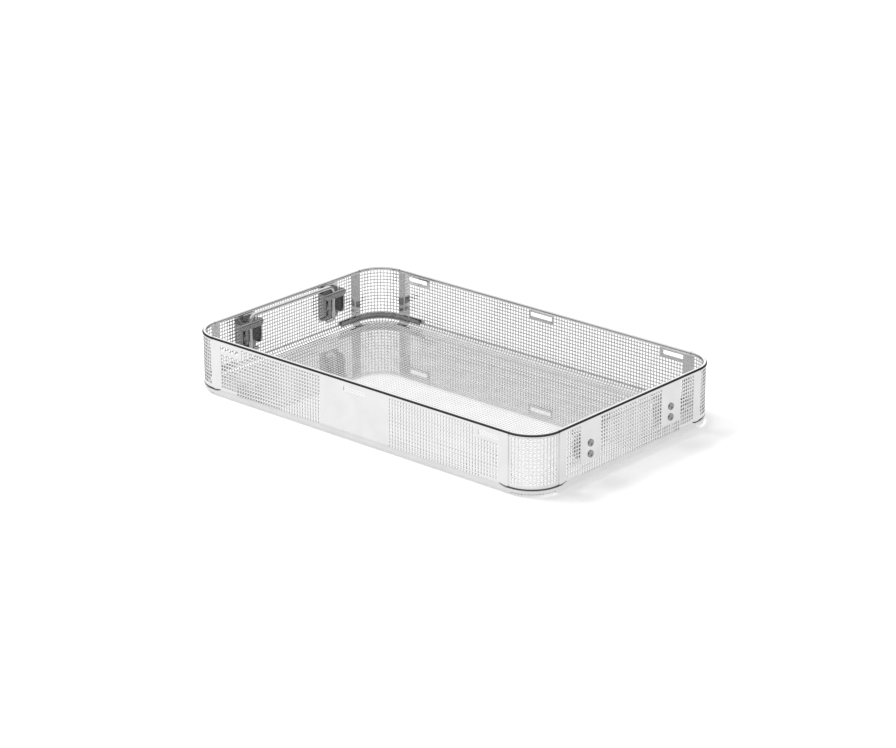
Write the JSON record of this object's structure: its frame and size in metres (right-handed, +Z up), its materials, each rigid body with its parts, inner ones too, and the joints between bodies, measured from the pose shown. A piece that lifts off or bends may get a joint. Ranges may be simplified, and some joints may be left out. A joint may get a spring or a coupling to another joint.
{
  "type": "autoclave basket",
  "caption": "Shallow perforated sheet-steel tray with rounded lapped corners, a rolled rim, tag slots in the long walls and a drop handle inside each short wall.",
  "frame": {"origin": "centre of the underside, on the surface the basket stands on", "axes": "+X along the long side, -Y the front long wall, +Z up"},
  "size_m": [0.4076, 0.253, 0.056],
  "materials": {
    "sheet": "electropolished stainless sheet, soft satin shine",
    "gusset": "pressed stainless sheet, smoother and darker than the walls",
    "bracket": "folded stainless sheet, polished",
    "rivet": "turned stainless, dished head",
    "wire": "drawn stainless wire, polished"
  },
  "bodies": {
    "basket": {"basket_pan": "sheet", "corner_panel_front_left": "sheet", "corner_panel_front_right": "sheet", "corner_panel_back_left": "sheet", "corner_panel_back_right": "sheet", "corner_gusset_front_left": "gusset", "corner_gusset_front_right": "gusset", "corner_gusset_back_left": "gusset", "corner_gusset_back_right": "gusset", "handle_bracket_left_front": "bracket", "handle_bracket_left_back": "bracket", "handle_bracket_right_front": "bracket", "handle_bracket_right_back": "bracket", "bracket_rivets": "rivet"},
    "bail_left": {"bail_left": "wire"},
    "bail_right": {"bail_right": "wire"}
  },
  "joints": [
    {"name": "bail_left_lift", "type": "slide", "parent": "basket", "child": "bail_left", "axis": [0, 0, 1], "range_m": [0, 0.024]},
    {"name": "bail_right_lift", "type": "slide", "parent": "basket", "child": "bail_right", "axis": [0, 0, 1], "range_m": [0, 0.024]}
  ]
}
